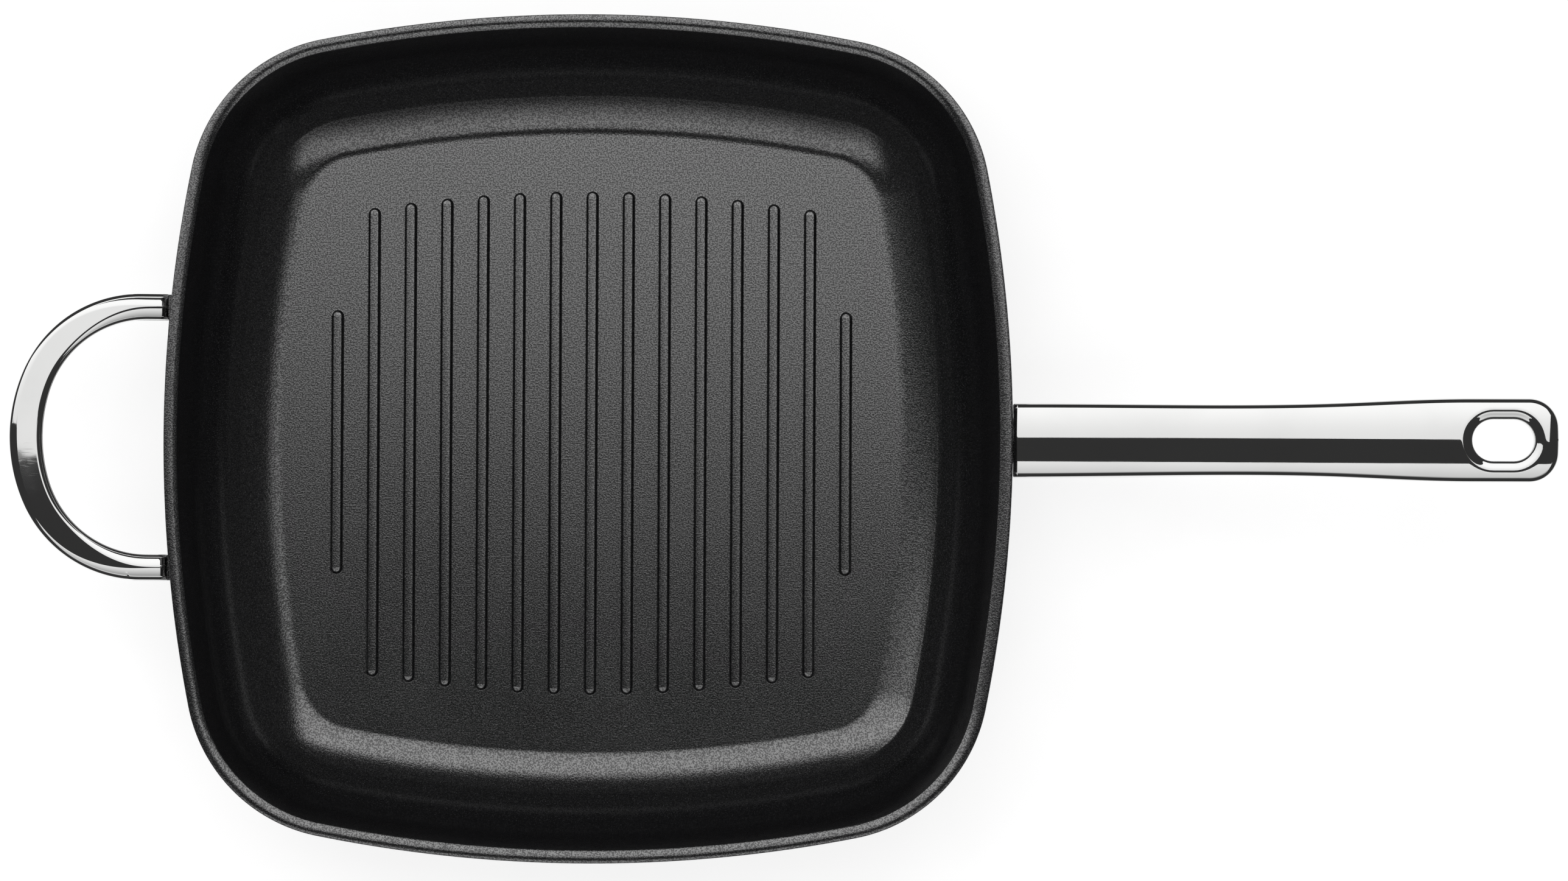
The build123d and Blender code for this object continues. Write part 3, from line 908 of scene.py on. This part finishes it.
def well(loop, out, roof, mouth_round, roof_round, steps):
    """Walls of a blind hollow in the underside, from its rounded mouth up to the edge of its roof."""
    parts = (
        (-1, handle_underside, mouth_round, np.linspace(math.pi / 2, 0, steps)),
        (1, roof, roof_round, np.linspace(0, math.pi / 2, steps)),
    )
    rows, normals = [], []
    for side, surface, rounding, turns in parts:
        for turn in turns:
            plan = loop + side * out * rounding * (1 - math.cos(turn))
            rows.append(raised(plan, surface(*plan.T) - side * rounding * (1 - math.sin(turn))))
            normals.append(raised(out * math.cos(turn), -math.sin(turn)))
    return grid_shell(rows, normals), rows[0][:, :2], rows[-1][:, :2]


def hollow_shells():
    """Walls and roofs of the pocket and of the screw's seat, and the loops of their mouths in plan."""
    pocket, pocket_out = rounded_box_loop(pocket_start, pocket_end, pocket_half_width, pocket_corner)
    seat, seat_out = circle_loop(screw_place, seat_radius)
    hollows = (
        (pocket, -pocket_out, pocket_roof_height, pocket_mouth_round, pocket_roof_round, 6),
        (seat, seat_out, level(seat_up), seat_mouth_round, seat_roof_round, 4),
    )
    shells, mouths = [], []
    for loop, out, roof, mouth_round, roof_round, steps in hollows:
        wall, mouth, top = well(loop, out, roof, mouth_round, roof_round, steps)
        shells += [wall, skin_shell([top], roof, -1, hollow_skin_step)]
        mouths.append(mouth)
    return shells, mouths


def handle_shells():
    """The long handle: its side, hole, dish and top, the hollows under it and its underside."""
    quarter = math.pi / 4
    surfaces = (handle_top, handle_underside)
    top_edge = edge_rows(handle_shoulder_radius, handle_lip_radius, handle_break_tilt, 9)
    bottom_edge = edge_rows(handle_bottom_round, handle_bottom_round, quarter, 5)
    side, top_loop, bottom_loop = edge_band(*handle_outline(), *surfaces, top_edge, bottom_edge)
    hole, hole_out = hole_loop()
    mouth = edge_rows(hole_mouth_round, hole_mouth_round, quarter, 4)
    lower_mouth = edge_rows(hole_bottom_round, hole_bottom_round, quarter, 4)
    bore, _, bottom_hole = edge_band(hole, hole_out, *surfaces, mouth, lower_mouth)
    spread = np.linspace(hole_mouth_round, dish_places[-1], 24)
    dish, dish_loop = rings_on_top(hole, hole_out, spread)
    top = skin_shell([top_loop, dish_loop], handle_top, 1, top_skin_step)
    hollows, mouths = hollow_shells()
    underside_loops = [bottom_loop, bottom_hole, *mouths]
    underside = skin_shell(underside_loops, handle_underside, -1, underside_skin_step)
    return [side, bore, dish, top, *hollows, underside]


polish_bright = (0.64, 0.64, 0.635)
polish_dull = (0.61, 0.61, 0.605)
polish_rough = (0.02, 0.038)
polish_scratch_rough = 0.012
polish_scratch_depth = 0.015
polish_wave_scale = 130
polish_bump = 0.000004


def polished_steel_material():
    """Mirror-polished stainless steel with the faint haze and hairlines of use."""
    material, tree, shader, place = new_material("polished stainless steel")
    used = use_group(tree, handling_marks, place, Size=26)
    smears, scratches = used.outputs["Smears"], used.outputs["Scratches"]
    colour = mixed(tree, smears, polish_bright, polish_dull)
    rough = ramped(tree, smears, 0, 1, *polish_rough)
    rough = calculate(tree, "ADD", rough, calculate(tree, "MULTIPLY", scratches, polish_scratch_rough))
    set_inputs(tree, shader, Base_Color=colour, Roughness=rough, Metallic=1)
    waves = noise_in(tree, place, polish_wave_scale, 1)
    hollows = calculate(tree, "MULTIPLY", scratches, polish_scratch_depth)
    bump_into(tree, shader, calculate(tree, "SUBTRACT", waves, hollows), polish_bump)
    return material


polished_steel = polished_steel_material()
new_piece("long_handle_casting", handle_shells(), polished_steel, ["long_handle"])

# FIXINGS OF THE LONG HANDLE
# A threaded steel bush is cast into the tenon, and a countersunk screw with a hexagon socket is put in
# from below through the root. Only the face of its head shows, flush with the underside.

screw_steps = 48
socket_chamfer = 0.0002
socket_rim_share = 1.2
head_edge = 0.00025
head_side = 0.0004
head_cone_extra = 0.0003
shank_tip_chamfer = 0.0006


def hexagon(radius, angles):
    """Distance from the middle to the side of a hexagon with this inner radius, at each angle."""
    return radius / np.cos((angles + math.pi / 6) % (math.pi / 3) - math.pi / 6)


def screw_shells(head_radius, shank_radius, length, socket_radius, depth):
    """A countersunk screw, point up: head with softened rims, cone, plain shank and hexagon socket."""
    angles = np.linspace(0, 2 * math.pi, screw_steps, endpoint=False)
    around = directions_at(angles)
    rim_radius = socket_radius * socket_rim_share
    tip_radius = shank_radius - shank_tip_chamfer
    outer = [
        (rim_radius, 0),
        (head_radius - head_edge, 0),
        (head_radius, head_edge),
        (head_radius, head_side),
        (shank_radius, head_radius - shank_radius + head_cone_extra),
        (shank_radius, length - shank_tip_chamfer),
        (tip_radius, length),
    ]
    hexagonal = around * hexagon(socket_radius, angles)[:, None]
    rim = raised(around * rim_radius, 0)
    mouth = raised(hexagonal, socket_chamfer)
    foot = raised(hexagonal, depth)
    down, inward = raised(0 * around, -1), raised(-around, 0)
    return joined(
        [
            turned_shell(outer, screw_steps),
            grid_shell([rim, mouth], [down, down + inward]),
            grid_shell([mouth, foot], [inward, inward]),
            cap_shell(foot, (0, 0, -1)),
            cap_shell(raised(around * tip_radius, length), (0, 0, 1)),
        ]
    )


thread_pitch = 0.0008
smear_rough_share = 1.4
fixing_bump = 0.00004


def fixing_steel_material(name, bright, dull, roughness):
    """Steel of a screw or a bush, with rings along it like those of a thread, and the marks of use."""
    material, tree, shader, place = new_material(name)
    used = use_group(tree, handling_marks, place, Size=300)
    marks = use_group(tree, tool_marks, place, Pitch=thread_pitch, Place=axis_of(tree, place, "Z"))
    colour = mixed(tree, used.outputs["Smears"], bright, dull)
    rough = ramped(tree, used.outputs["Smears"], 0, 1, roughness, roughness * smear_rough_share)
    set_inputs(tree, shader, Base_Color=colour, Roughness=rough, Metallic=1)
    height = calculate(tree, "SUBTRACT", marks.outputs["Lines"], used.outputs["Scratches"])
    bump_into(tree, shader, height, fixing_bump)
    return material


screw_steel = fixing_steel_material(
    "screw steel", bright=(0.6, 0.6, 0.59), dull=(0.5, 0.5, 0.49), roughness=0.26
)
insert_steel = fixing_steel_material(
    "bush steel", bright=(0.5, 0.5, 0.49), dull=(0.42, 0.42, 0.41), roughness=0.34
)
long_screw = screw_shells(
    head_radius=0.00455,
    shank_radius=0.00245,
    length=0.01,
    socket_radius=0.0015,
    depth=0.0025,
)
long_screw = moved(long_screw, Matrix.Translation((screw_place, 0, handle_bottom)))
new_piece("long_handle_fixing_screw", [long_screw], screw_steel, ["long_handle_screw"])
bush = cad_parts["long_handle_insert"]
bush.data.materials.clear()
bush.data.materials.append(insert_steel)

# LOOP HANDLE
# A stainless steel strap bent to a D and mirror polished. Its bow is flat on top with a gentle slope on
# each side, and the flat narrows away along the legs. Each end is cut back to a tongue on a lug of the pan.

loop_reach = 0.0521
loop_half_width = 0.0472
loop_corner_radius = 0.04191
loop_apex_radius = 0.05522
loop_inner_reach = 0.0412
loop_inner_half_width = 0.0388
loop_inner_corner_radius = 0.03383
loop_inner_apex_radius = 0.05044
strap_lip_radius = 0.0003
strap_crease_tilt = math.radians(9)
strap_slope_tilt = math.radians(19)
strap_break_tilt = math.radians(44)
strap_crease_width = 0.00031
strap_shoulder_width = 0.0009
strap_flat_half = 0.003
strap_flat_start = 0.004
strap_flat_full = 0.042
strap_bottom_round = 0.0012
strap_bottom = -0.009
tongue_bottom = -0.00415
tongue_length = 0.013
tongue_bottom_round = 0.0002
strap_end_round = 0.0028
strap_width_limit = 0.02


def d_line(reach, half_width, corner, apex, steps):
    """Points along one D of tangent arcs, from the root of one leg to the root of the other."""
    apex_centre = reach - apex
    leg_end = apex_centre + math.sqrt((apex - corner) ** 2 - (half_width - corner) ** 2)
    half_turn = math.atan2(half_width - corner, leg_end - apex_centre)
    leg = np.column_stack([np.linspace(0, leg_end, steps, endpoint=False), np.full(steps, half_width)])
    bend = arc_points((leg_end, half_width - corner), corner, math.pi / 2, half_turn, 3 * steps)[:-1]
    bow = arc_points((apex_centre, 0), apex, half_turn, 0, 2 * steps)
    half = np.concatenate([leg, bend, bow])
    return np.concatenate([half, half[:-1][::-1] * (1, -1)])


def strap_section(half_width, flat_half, bottom, bottom_round):
    """Points and normals round the strap's section, from one lower edge over the top to the other."""
    lip_width = strap_lip_radius * (1 - math.sin(strap_break_tilt))
    slope_width = half_width - flat_half - strap_crease_width - strap_shoulder_width - lip_width
    arcs = (
        (0, strap_crease_tilt, strap_crease_width, 4),
        (strap_crease_tilt, strap_slope_tilt, slope_width, 8),
        (strap_slope_tilt, strap_break_tilt, strap_shoulder_width, 6),
        (strap_break_tilt, math.pi / 2, lip_width, 6),
    )
    points, normals = [(0, 0)], [(0, 1)]
    across, up = flat_half, 0
    for start, end, width, steps in arcs:
        radius = width / (math.sin(end) - math.sin(start))
        for turn in np.linspace(start, end, steps):
            side = across + radius * (math.sin(turn) - math.sin(start))
            points.append((side, up - radius * (math.cos(start) - math.cos(turn))))
            normals.append((math.sin(turn), math.cos(turn)))
        across, up = points[-1]
    for turn in np.linspace(math.pi / 2, math.pi, 6):
        normal = (math.sin(turn), math.cos(turn))
        side = half_width - bottom_round * (1 - normal[0])
        points.append((side, bottom + bottom_round * (1 + normal[1])))
        normals.append(normal)
    mirrored = [(-x, up) for x, up in points[1:]]
    mirrored_normals = [(-x, up) for x, up in normals[1:]]
    return np.array(points[::-1] + mirrored), np.array(normals[::-1] + mirrored_normals)


def strap_stations():
    """Outer edge, direction across, direction along and width of the strap at points along it."""
    outer = d_line(loop_reach, loop_half_width, loop_corner_radius, loop_apex_radius, 16)
    inner_ends = (loop_inner_reach, loop_inner_half_width)
    inner = d_line(*inner_ends, loop_inner_corner_radius, loop_inner_apex_radius, 400)
    along = np.gradient(outer, axis=0)
    along = along / np.linalg.norm(along, axis=1)[:, None]
    across = np.column_stack([-along[:, 1], along[:, 0]])
    widths = []
    for point, forward, side in zip(outer, along, across):
        reach = inner - point
        off_line = np.abs(reach @ forward) + np.where(np.abs(reach @ side) > strap_width_limit, 1, 0)
        widths.append(-(reach[np.argmin(off_line)] @ side))
    return outer, across, along, np.array(widths)


def strap_row(point, side, forward, width, sunk, lean, bottom, bottom_round):
    """One section of the strap, its top sunk by a distance, with normals that lean towards its end."""
    share = np.clip((point[0] - strap_flat_start) / (strap_flat_full - strap_flat_start), 0, 1)
    section, tilts = strap_section(width / 2, strap_flat_half * eased(share), bottom, bottom_round)
    low = bottom + bottom_round
    up = np.where(section[:, 1] > low, low + (section[:, 1] - low) * (1 + sunk / low), section[:, 1])
    plan = point - side * (width / 2) + np.outer(section[:, 0], side)
    rows = np.column_stack([plan, up])
    normals = np.column_stack([np.outer(tilts[:, 0], side), tilts[:, 1]]) * math.cos(lean)
    normals[:, :2] -= forward * math.sin(lean)
    return rows, normals


def strap_end_places(point, side, inward, width):
    """Places over the rounded end of one leg, from its tip inwards, as in strap_places."""
    turns = np.linspace(math.pi / 2, 0, 9)
    made = []
    for reach, turn in zip(strap_end_round * (1 - np.sin(turns)), turns):
        sunk = strap_end_round * (1 - math.cos(turn))
        made.append(((point + inward * reach, side, inward, width, sunk, turn), True))
    return made


def strap_places():
    """The first six arguments of strap_row for each section along the D, and whether it is on a tongue."""
    outer, across, along, widths = strap_stations()
    middle = []
    for point, side, forward, width in zip(outer[1:-1], across[1:-1], along[1:-1], widths[1:-1]):
        if point[0] > strap_end_round:
            middle.append(((point, side, forward, width, 0, 0), point[0] < tongue_length))
    start = strap_end_places(outer[0], across[0], along[0], widths[0])
    finish = strap_end_places(outer[-1], across[-1], -along[-1], widths[-1])
    return start + middle + finish[::-1]


def strap_shells():
    """The strap: sections along the D, rounded down at both ends and stepped for the tongues."""
    points, normals = [], []
    on_tongue = True
    for place, tongue in strap_places():
        for kind in [tongue] if tongue == on_tongue else [on_tongue, tongue]:
            bottom = (tongue_bottom, tongue_bottom_round) if kind else (strap_bottom, strap_bottom_round)
            row, tilts = strap_row(*place, *bottom)
            points.append(row)
            normals.append(tilts)
        on_tongue = tongue
    caps = [cap_shell(row, (-1, 0, 0)) for row in (points[0], points[-1])]
    return [moved(shell, loop_place) for shell in (grid_shell(points, normals), *caps)]


new_piece("loop_handle_strap", strap_shells(), polished_steel, ["loop_handle"])

# SCREWS OF THE LOOP HANDLE
# Two short countersunk steel screws with hexagon sockets. They are put in from below, through the lugs
# and into the tongues of the strap, so only the faces of their heads show.

loop_screw = screw_shells(
    head_radius=0.0034,
    shank_radius=0.00195,
    length=0.0085,
    socket_radius=0.00125,
    depth=0.002,
)
loop_screws = []
for side in (-1, 1):
    seat = Matrix.Translation((lug_screw_place, side * loop_end_offset, lug_bottom))
    loop_screws.append(moved(loop_screw, loop_place @ seat))
new_piece("loop_handle_fixing_screws", loop_screws, screw_steel, ["loop_handle_screws"])

# FLOOR
# A plain pale table top, which the pan stands on and which is no part of it. It shows white, and keeps
# a faint shadow of the pan.

floor_half = 20
floor_drop = 0.0002
floor_pale = (0.46, 0.46, 0.46)
floor_dim = (0.44, 0.44, 0.44)
floor_rough = 0.9
floor_glow = 0.74


def floor_material():
    """Pale floor that looks white to the camera and in the steel, and darkens where the pan shades it."""
    material, tree, shader, place = new_material("pale table top")
    path = tree.nodes.new("ShaderNodeLightPath")
    seen = calculate(tree, "MAXIMUM", path.outputs["Is Camera Ray"], path.outputs["Is Glossy Ray"])
    seen = calculate(tree, "MAXIMUM", seen, path.outputs["Is Transmission Ray"])
    tone = ramped(tree, noise_in(tree, place, 30, 2), *noise_range, 0, 1)
    set_inputs(tree, shader, Base_Color=mixed(tree, tone, floor_pale, floor_dim), Roughness=floor_rough)
    shine = calculate(tree, "MULTIPLY", seen, floor_glow)
    set_inputs(tree, shader, Emission_Color=(1, 1, 1, 1), Emission_Strength=shine)
    return material


floor_mesh = bpy.data.meshes.new("table_top")
floor_signs = ((-1, -1), (1, -1), (1, 1), (-1, 1))
floor_corners = [(x * floor_half, y * floor_half, -floor_drop) for x, y in floor_signs]
floor_mesh.from_pydata(floor_corners, [], [(0, 1, 2, 3)])
floor_mesh.materials.append(floor_material())
table_top = bpy.data.objects.new("table_top", floor_mesh)
bpy.context.scene.collection.objects.link(table_top)

# LIGHT
# North is +Y. A large soft box hangs on each side of the camera, and the southern one fades out towards
# its far edge. The polished steel shows the dark gap between them, and an even glow lights matt surfaces
# only.


def soft_box(name, distance, near, far, east, west, turn, radiance, fade):
    """A rectangular lamp that faces the pan, between two tilts towards north.

    fade holds two tilts and the share of the radiance at each."""
    tilt = (near + far) / 2
    length = 2 * distance * math.tan(abs(far - near) / 2)
    lamp = bpy.data.lights.new(name, "AREA")
    lamp.shape = "RECTANGLE"
    lamp.size, lamp.size_y = east - west, length
    lamp.energy = math.pi * lamp.size * length * radiance
    lamp.use_nodes = True
    tree = lamp.node_tree
    spot = tree.nodes.new("ShaderNodeNewGeometry").outputs["Position"]
    slope = calculate(tree, "DIVIDE", axis_of(tree, spot, "Y"), axis_of(tree, spot, "Z"))
    strength = ramped(tree, slope, math.tan(fade[0]), math.tan(fade[1]), fade[2], fade[3])
    set_inputs(tree, tree.nodes["Emission"], Strength=strength)
    piece = bpy.data.objects.new(name, lamp)
    middle = Vector(((east + west) / 2, distance * math.sin(tilt), distance * math.cos(tilt)))
    spun = Matrix.Rotation(turn, 4, "Z") @ Matrix.Translation(middle)
    piece.matrix_world = spun @ Matrix.Rotation(-tilt, 4, "X")
    piece.visible_camera = False
    bpy.context.scene.collection.objects.link(piece)


north_near, north_far, north_full = (math.radians(tilt) for tilt in (2.5, 35, 30))
south_near, south_far, south_full = (math.radians(tilt) for tilt in (-15.3, -46, -4))
soft_box(
    "north_soft_box",
    distance=2.2,
    near=north_near,
    far=north_far,
    east=0.785,
    west=-2.4,
    turn=math.radians(-5.5),
    radiance=1.34,
    fade=(north_near, north_full, 0.85, 1.1),
)
soft_box(
    "south_soft_box",
    distance=2.6,
    near=south_near,
    far=south_far,
    east=1.3,
    west=-1.1,
    turn=0,
    radiance=1.3,
    fade=(south_far, south_full, 0, 1),
)

world = bpy.data.worlds.new("studio")
bpy.context.scene.world = world
world.use_nodes = True
studio = world.node_tree
ray = studio.nodes.new("ShaderNodeLightPath")
upward = axis_of(studio, studio.nodes.new("ShaderNodeTexCoord").outputs["Generated"], "Z")
glow = 0.45
gap_tone = 0.045
horizon_low, horizon_high = 0.08, 0.14
seen = ray.outputs["Is Camera Ray"]
mirrored = calculate(studio, "MAXIMUM", ray.outputs["Is Glossy Ray"], ray.outputs["Is Transmission Ray"])
horizon = ramped(studio, upward, horizon_low, horizon_high, 1, gap_tone)
in_steel = calculate(studio, "MULTIPLY", mirrored, horizon)
on_matt = calculate(studio, "MULTIPLY", calculate(studio, "SUBTRACT", 1, mirrored), glow)
lit = calculate(studio, "ADD", in_steel, on_matt)
off_camera = calculate(studio, "MULTIPLY", lit, calculate(studio, "SUBTRACT", 1, seen))
strength = calculate(studio, "ADD", off_camera, seen)
set_inputs(studio, studio.nodes["Background"], Color=(1, 1, 1, 1), Strength=strength)

# CAMERA
# High above the pan and a little to the south of it, with a long lens. It is rolled a trace, as the
# photograph is.

camera_distance = 2.9
sensor_width = 36
near_clip, far_clip = 0.1, 100
image_width = 0.5164
camera_tilt = math.radians(2)
camera_roll = math.radians(0.25)
camera_target = Vector((0.0647, -0.0005, 0.053))
camera_back = Vector((0, -math.sin(camera_tilt), math.cos(camera_tilt)))
camera_data = bpy.data.cameras.new("camera")
camera_data.sensor_width = sensor_width
camera_data.lens = sensor_width * camera_distance / image_width
camera_data.clip_start, camera_data.clip_end = near_clip, far_clip
camera = bpy.data.objects.new("camera", camera_data)
bpy.context.scene.collection.objects.link(camera)
camera_right = Vector((math.cos(camera_roll), math.sin(camera_roll), 0))
camera_turn = Matrix((camera_right, camera_back.cross(camera_right), camera_back)).transposed()
camera_eye = camera_target + camera_back * camera_distance
camera.matrix_world = Matrix.Translation(camera_eye) @ camera_turn.to_4x4()
bpy.context.scene.camera = camera
bpy.context.scene.view_settings.view_transform = "Standard"
